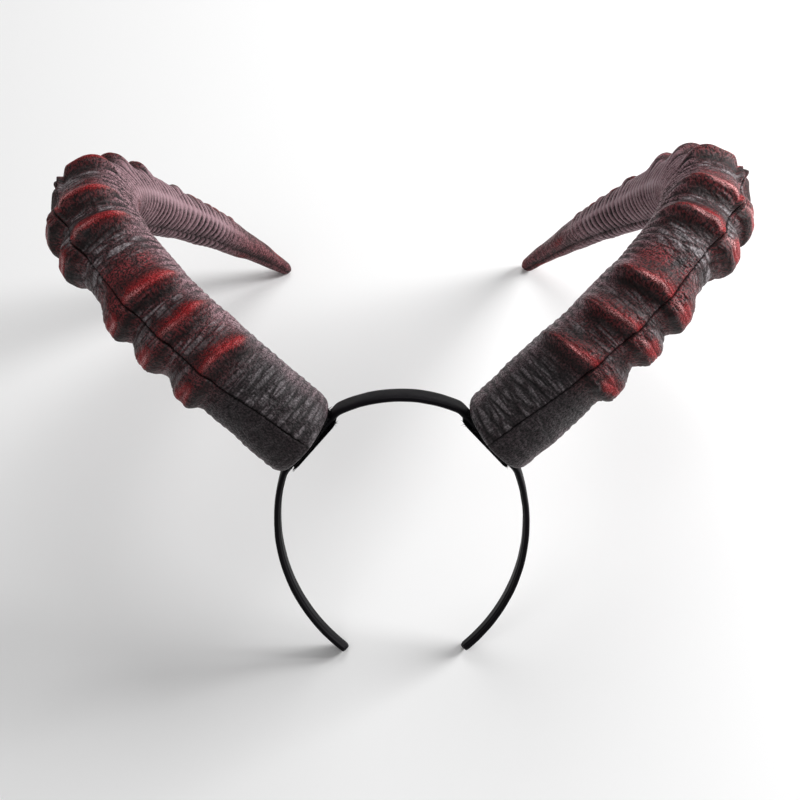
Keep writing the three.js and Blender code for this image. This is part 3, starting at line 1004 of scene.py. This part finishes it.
        # Black in the grooves is painted shade; the ridges between them past the bend, and the corner, get a
        # painted highlight
        self.lay_on("black_and_shade", groove * share * mix(GROOVE_BLACK_BY_FOOT, 1, deep))
        self.ridge = ((1 - groove) * self.beyond + CORNER_HIGHLIGHT * corner) * share
        if self.upper:
            line = np.clip(wave**FOOT_LINE_SHARPNESS * (1 + FOOT_LINE_BREAKS * breaks), 0, 1)
            line = line * self.face * (1 - self.past(FOOT_LINES_ENDING))
            self.height -= FOOT_LINE_DEPTH * line
            self.lay_on("black_and_shade", FOOT_LINE_BLACK * line)

    def add_bars(self):
        """Low bars across the inner face, with slots between them."""
        wander = self.inner_hills(BAR_WANDER)
        pitch = mix(BAR_PITCH, GROOVE_PITCH, self.past(BAR_CLOSING))
        turns = np.cumsum(np.diff(self.along[:, :1], axis=0, prepend=0) / pitch[:, :1], axis=0)
        slot = smoothstep(ripple(turns + wander / pitch), *BAR_SLOT)
        share = self.inner_face * (1 - self.beyond)
        self.height += BAR_HEIGHT * share * (1 - slot)
        patchy = np.clip(self.inner_hills(BAR_PATCHES) + self.inner_hills(BAR_SPOTS), 0, 1)
        near_foot = bell(self.along - BAR_FOOT_PLACE, BAR_FOOT_SPREAD)
        red = BAR_RED + mix(BAR_PATCH_RED, BAR_FOOT_PATCH_RED, near_foot) * patchy
        red = red + BAR_FOOT_RED * near_foot
        self.lay_on("red", red * share * (1 - slot))
        self.lay_on("black_and_shade", self.inner_hills(BAR_BLACK) * share * slot)

    def add_wrinkles(self):
        """Crosswise wrinkles on the outer faces, and soft lumps all over."""
        share = self.face * smoothstep(self.from_outer, *WRINKLE_RISE)
        share = share * (1 - self.past(WRINKLE_ENDING))
        depth = 0
        for row in WRINKLES:
            crease = share * bell(self.outer_hills(row.hills), WRINKLE_WIDTH)
            depth = np.maximum(depth, row.depth * crease)
            self.lay_on("black_and_shade", row.black * crease)
        self.height -= depth
        lumps = self.outer_hills(LUMPS) * smoothstep(self.from_outer, *LUMP_RISE)
        self.height += lumps * smoothstep(self.from_inner, *LUMP_RISE)

    def add_seams(self):
        """Grooves along both seams, and fins where the outer seam is pinched up."""
        seed = self.seed // SEAM_SEED_SHARE
        outer = 1 - np.clip(self.from_outer / SEAM_WIDTH, 0, 1)
        inner = 1 - np.clip(self.from_inner / mix(SEAM_WIDTH, INNER_SEAM_WIDTH, self.beyond), 0, 1)
        self.height -= SEAM_DEPTH * (outer**2 + inner**2)
        fin = 0
        for number, row in enumerate(SEAM_FINS):
            lobe = row.height * bell(self.along - row.along, row.reach)
            fin = np.maximum(fin, lobe * uneven(FIN_RAGGED, self.along, 0, seed + number))
        lip = 1 - smoothstep(self.from_outer, FIN_THICK * FIN_WIDTH, FIN_WIDTH)
        self.height += fin * lip
        self.lay_on("red", FIN_RED * lip * np.clip(fin / FIN_RED_HEIGHT, 0, 1))
        # Black along both seams: dark glue, and painted shade in the groove
        self.lay_on("black_and_shade", uneven(SEAM_BLACK, self.along, 0, seed) * np.maximum(outer, inner))

    def stain_tip(self):
        """Black streaks and red stains along the tip."""
        streaks = np.clip(self.outer_hills(TIP_STREAKS), 0, 1)
        self.lay_on("black_and_shade", TIP_STREAK_BLACK * streaks * self.past(TIP_RISE))
        stains = np.clip(self.outer_hills(TIP_STAINS), 0, 1)
        stains = TIP_STAIN_RED * stains * self.past(TIP_STAIN_RISE)
        self.lay_on("red", stains + TIP_END_RED * self.past(TIP_END_RISE))


def seam_shift(along, angle, seed):
    """Sideways wander of both seams, the same for the two halves."""
    outer = uneven(SEAM_WANDER, along, 0, seed) * bell(angle, SEAM_SHIFT_SPREAD)
    inner = uneven(SEAM_WANDER, along, 0, seed + 1) * bell(pi - angle, SEAM_SHIFT_SPREAD)
    fade = smoothstep(along, 0, SEAM_WANDER_FADE)
    fade = fade * (1 - smoothstep(along, HORN_LENGTH - SEAM_WANDER_FADE, HORN_LENGTH))
    return (outer + inner) * fade


def horn_points(rows, angle, inset, side, height, shift):
    """Skin points in the seat's axes. The side is 1 above the seams and -1 below."""
    along = rows[:, None]
    point, forward, inward, across_axis = horn_spine(rows)
    out, across = plain_section(along, angle, side)
    radius = np.hypot(out, across)
    beyond = np.maximum(along - (HORN_LENGTH - HORN_TIP_RADIUS), 0) / HORN_TIP_RADIUS
    before = 1 - np.minimum(along / HORN_FOOT_RADIUS, 1)
    foot_inset = HORN_FOOT_INSET * (1 - np.sqrt(1 - before**2))
    calm = smoothstep(along, 0, HORN_FOOT_RADIUS)
    grown = (radius + height * calm) * np.sqrt(1 - beyond**2) - foot_inset - inset
    grown = np.maximum(grown, 0)
    sideways = side * (across / radius * grown + GLUE_GAP / 2) + shift
    points = point - inward * (out / radius * grown)[..., None] + across_axis * sideways[..., None]
    slide = (point[..., 2] - points[..., 2]) / forward[..., 2]
    share = 1 - np.minimum(along / HORN_FOOT_BLEND, 1)
    return points + forward * (slide * share)[..., None]


def horn_half(side, seed, seam_seed):
    """One half of the left horn: points in the hoop's axes, faces, and what its material reads."""
    rows = horn_rows()
    along = rows[:, None]
    angle = section_angles(mean_radius(along))
    relief = Relief(along, angle, side, seed)
    outer = horn_points(rows, angle, 0, side, relief.height, seam_shift(along, angle, seam_seed))

    inside = np.linspace(pi, 0, INSIDE_COLUMNS) + 0 * along
    hollow = horn_points(rows, inside, HORN_WALL, side, 0, 0)
    share = np.linspace(HORN_SOLID_INSET, 1 - HORN_SOLID_INSET, INSIDE_COLUMNS)[None, :, None]
    straight = mix(outer[:, -1:], outer[:, :1], share)
    solid = smoothstep(along, HORN_HOLLOW_END - HORN_HOLLOW_BLEND, HORN_HOLLOW_END)[..., None]
    inner = mix(hollow, straight, solid)

    points, faces = tube(np.concatenate([outer, inner], axis=1))
    layers = {layer: np.clip(strength, 0, 1) for layer, strength in relief.paint.items()}
    lost = mix(MAUVE_LOST_INSIDE, MAUVE_LOST_PAST_BEND, relief.beyond)
    wine = relief.past(WINE_RISE) * (1 - WINE_LOST_TO_NET * layers["net"])
    layers["flank"] = (1 - relief.face) * (1 - lost * relief.inner_face)
    layers["wine"] = wine * (1 - WINE_LOST_PAST_BEND * relief.beyond)
    layers["tip"] = relief.past(TIP_RISE)
    layers["ridge"] = relief.ridge
    layers["skin"] = np.stack([relief.along, relief.from_outer * side, 0 * angle + seed], -1)
    for layer, values in layers.items():
        filler = np.zeros((len(rows), INSIDE_COLUMNS, *values.shape[2:]))
        filled = np.concatenate([values, filler], axis=1)
        layers[layer] = filled.reshape(-1, *values.shape[2:])
    return placed(points, SEAT), faces, layers


def add_horns(material):
    for side_name, seed in HORN_SEEDS.items():
        for half_name, side in (("upper", 1), ("lower", -1)):
            points, faces, layers = horn_half(side, seed + LOWER_SEED * (side < 0), seed)
            if side_name == "right":
                points, faces = mirrored(points, faces)
            name = f"horn_{side_name}_{half_name}"
            piece = add_piece(name + "_foam", points, faces, material, name)
            for layer, values in layers.items():
                add_attribute(piece, layer, values)


# Hoop


def band_section(to_end):
    """Corners of the wound strip's section: across the strip and out of the head's side."""
    reach = 1 - np.clip(to_end / BAND_END_RADIUS, 0, 1)
    cut_back = BAND_END_RADIUS * (1 - np.sqrt(1 - reach**2))
    angle = np.linspace(0, 2 * pi, RIBBON_CORNERS, endpoint=False)[None, :]
    power = 2 / RIBBON_ROUNDNESS
    width = mix(BAND_END_WIDTH, BAND_WIDTH, np.clip(to_end / BAND_TAPER_LENGTH, 0, 1))
    wide = width / 2 - cut_back
    across = signed_power(np.cos(angle), power) * wide
    out = signed_power(np.sin(angle), power) * BAND_THICKNESS / 2
    head_side = out < 0
    lining = smoothstep(width / 2 - LINING_MARGIN - np.abs(across), 0, LINING_EDGE) * head_side
    return across, out - LINING_HEIGHT * lining + LINING_HEIGHT * head_side * LINING_SUNK


def add_band(material):
    other_side = BAND_SIDE[:0:-1] * np.array([-1, 1, -1])
    marks = np.concatenate([other_side, BAND_SIDE])
    strides = np.hypot(*np.diff(marks[:, :2], axis=0).T)
    along = np.concatenate([[0], np.cumsum(strides)])[:, None]
    to_end = np.minimum(along, along[-1] - along)
    across, out = band_section(to_end)
    out = out + uneven(RIBBON_RIPPLE, along, across)
    x, z, heading = (marks[:, part][:, None] for part in range(3))
    rows = np.stack([x + out * np.sin(heading), across + 0 * x, z + out * np.cos(heading)], -1)
    points, faces = tube(rows)
    skin = np.stack([along + 0 * across, across, out], -1)
    piece = add_piece("headband_ribbon", points, faces, material, "headband")
    add_attribute(piece, "skin", skin.reshape(-1, 3))


# Felt pads


def felt_points(outline, thickness, seed):
    """Rows of points over a felt pad, from the middle of its lower face round its edge to its top."""
    middle = outline.mean(axis=0)
    turn = np.linspace(0, 2 * pi, len(outline), endpoint=False)
    ragged = 1 + FELT_RAGGED * hills(turn * FELT_WAVES, 0, seed)
    half = thickness / 2
    corner = np.linspace(-pi / 2, pi / 2, FELT_EDGE_ROWS)
    lower = [(share, -half) for share in FELT_RINGS]
    edge = [(1 - FELT_EDGE + FELT_EDGE * cos(bend), half * sin(bend)) for bend in corner]
    upper = [(share, half) for share in reversed(FELT_RINGS)]
    rows = []
    for number, (share, level) in enumerate(lower + edge + upper):
        flat = middle + (outline - middle) * (share * mix(1, ragged, share))[:, None]
        lumps = hills(*(flat / FELT_LUMP_SIZE).T, seed + 1 + number)
        rows.append(np.column_stack([flat, level * (1 - FELT_LUMPS * np.abs(lumps))]))
    return np.array(rows)


def felt_fibres(outline, thickness, kind, seed):
    """Loose fibres or ragged strands that stand out of the pad's edge."""
    random = np.random.default_rng(seed)
    middle = outline.mean(axis=0)
    reach = outline[:, 0] - middle[0]
    roots = outline[reach < CROWN_SIDE * reach.min()] if kind.crown_side else outline
    points = []
    faces = []
    for _ in range(kind.count):
        root = roots[random.integers(len(roots))]
        away = (root - middle) / np.linalg.norm(root - middle)
        level = random.uniform(-FIBRE_SPREAD, FIBRE_SPREAD) * thickness
        start = np.array([*(root - FIBRE_ROOT * away), level])
        lean = np.array([*away, 0]) + random.normal(0, FIBRE_DISORDER, 3)
        tip = start + lean / np.linalg.norm(lean) * kind.length * random.uniform(FIBRE_SHORTEST, 1)
        side = np.cross(tip - start, FIBRE_ASIDE)
        side = side / np.linalg.norm(side) * kind.radius
        rise = np.cross(side, tip - start)
        rise = rise / np.linalg.norm(rise) * kind.radius
        first = len(points)
        points += [start + side, start - side / 2 + rise, start - side / 2 - rise, tip]
        faces += [[first + corner for corner in face] for face in FIBRE_FACES]
    return np.array(points), faces


def cap_outline():
    """Outline of the cap under the horn's foot, in the seat's axes."""
    angle = np.linspace(0, pi, CAP_POINTS)[None, :]
    foot = np.zeros(1)
    upper = horn_points(foot, angle, CAP_INSET, 1, 0, 0)[0, :, :2]
    lower = horn_points(foot, angle, CAP_INSET, -1, 0, 0)[0, ::-1, :2]
    return np.concatenate([upper, lower])


def pad_outline():
    """Outline of the patch on the head's side of the hoop: a rectangle with round corners."""
    quarter = np.linspace(0, pi / 2, PAD_CORNER_POINTS)
    long = PAD_LENGTH / 2 - PAD_CORNER
    wide = PAD_WIDTH / 2 - PAD_CORNER
    corners = [(long, wide, 0), (-long, wide, 1), (-long, -wide, 2), (long, -wide, 3)]
    arcs = []
    for x, y, turns in corners:
        angle = quarter + turns * pi / 2
        arcs.append(np.column_stack([x + PAD_CORNER * np.cos(angle), y + PAD_CORNER * np.sin(angle)]))
    return np.concatenate(arcs)


def add_felt(material):
    cap_level = BAND_THICKNESS / 2 + GAP + CAP_THICKNESS / 2
    pad_level = -BAND_THICKNESS / 2 - GAP - PAD_THICKNESS / 2
    kinds = [
        ("base_cap", cap_outline(), CAP_THICKNESS, cap_level, [LOOSE_FIBRES, RAGGED_FIBRES]),
        ("base_pad", pad_outline(), PAD_THICKNESS, pad_level, [LOOSE_FIBRES]),
    ]
    for side_name in ("left", "right"):
        for number, (kind, outline, thickness, level, strands) in enumerate(kinds):
            seed = FELT_SEED + FELT_SEED_STEP * number + (side_name == "right")
            local, faces = tube(felt_points(outline, thickness, seed))
            for fibres in strands:
                fibre_points, fibre_faces = felt_fibres(outline, thickness, fibres, seed)
                faces += [[corner + len(local) for corner in face] for face in fibre_faces]
                local = np.concatenate([local, fibre_points])
            local = local + np.array([0, 0, level])
            points = placed(local, SEAT)
            if side_name == "right":
                points, faces = mirrored(points, faces)
            name = f"{kind}_{side_name}"
            piece = add_piece(name + "_felt", points, faces, material, name)
            add_attribute(piece, "skin", local)


# Stage: floor, camera and lights

CAMERA_DISTANCE = 802
CAMERA_AIM = Vector((0, 60, 21.5))
CAMERA_DROP_DEGREES = 20.6
CAMERA_YAW_DEGREES = -1.5
CAMERA_ROLL_DEGREES = -1.35
CAMERA_PITCH_DEGREES = 3.3
CAMERA_LENS = 76
PICTURE_AIM = Vector((0, 30, -10))
FLOOR_SIZE = 6.0
PAPER_COLOUR = (0.92, 0.92, 0.92, 1)
PAPER_ROUGHNESS = 0.9
ROOM_LIGHT = 0.25

# Soft panels: directions are to the right, up and back in the view, distances and sizes in metres
Light = namedtuple("Light", "name direction distance size power")
STUDIO_LIGHTS = [
    Light("key", (0.85, 0.5, 0.15), 1.3, 0.6, 20),
    Light("top", (0.1, 0.9, 0.2), 1.4, 0.9, 7),
    Light("front", (-0.4, 0.15, 0.9), 1.6, 0.9, 3),
]


def camera_axes():
    """Right, up and ahead of the photo's view, in the hoop's axes."""
    drop = radians(CAMERA_DROP_DEGREES)
    yaw = radians(CAMERA_YAW_DEGREES)
    ahead = Vector((sin(yaw) * cos(drop), cos(yaw) * cos(drop), -sin(drop)))
    right = Vector((cos(yaw), -sin(yaw), 0))
    roll = Matrix.Rotation(-radians(CAMERA_ROLL_DEGREES), 3, ahead)
    return roll @ right, roll @ right.cross(ahead), ahead


def add_camera():
    """Camera at the photo's angle and distance, turned down a little to bring the headband to the middle."""
    data = bpy.data.cameras.new("camera")
    data.lens = CAMERA_LENS
    camera = add_object("camera", data)
    right, up, ahead = camera_axes()
    place = REST @ (CAMERA_AIM - ahead * CAMERA_DISTANCE)
    pitch = Matrix.Rotation(-radians(CAMERA_PITCH_DEGREES), 3, right)
    axes = Matrix((right, pitch @ up, pitch @ -ahead)).transposed()
    turn = REST.to_quaternion().to_matrix() @ axes
    camera.matrix_world = Matrix.Translation(place) @ turn.to_4x4()
    bpy.context.scene.camera = camera
    return camera


def add_light(camera, row):
    """A soft panel, placed by the view's own directions, that faces the headband."""
    data = bpy.data.lights.new(row.name, "AREA")
    data.shape = "DISK"
    data.size = row.size
    data.energy = row.power
    light = add_object(row.name, data)
    away = camera.matrix_world.to_3x3() @ Vector(row.direction).normalized()
    light.location = REST @ PICTURE_AIM + away * row.distance
    light.rotation_euler = (-away).to_track_quat("-Z", "Y").to_euler()


def add_stage():
    camera = add_camera()
    for row in STUDIO_LIGHTS:
        add_light(camera, row)

    world = bpy.data.worlds.new("studio")
    world.use_nodes = True
    background = world.node_tree.nodes["Background"]
    background.inputs["Color"].default_value = (1, 1, 1, 1)
    background.inputs["Strength"].default_value = ROOM_LIGHT
    bpy.context.scene.world = world
    bpy.context.scene.view_settings.view_transform = "Standard"

    half = FLOOR_SIZE / 2
    mesh = bpy.data.meshes.new("floor")
    corners = [(-half, -half, 0), (half, -half, 0), (half, half, 0), (-half, half, 0)]
    mesh.from_pydata(corners, [], [(0, 1, 2, 3)])
    material, _, shader = new_material("floor_paper")
    shader.inputs["Base Color"].default_value = PAPER_COLOUR
    shader.inputs["Roughness"].default_value = PAPER_ROUGHNESS
    mesh.materials.append(material)
    floor = add_object("floor", mesh)


add_stage()
add_horns(foam_material())
add_band(satin_material())
add_felt(felt_material())
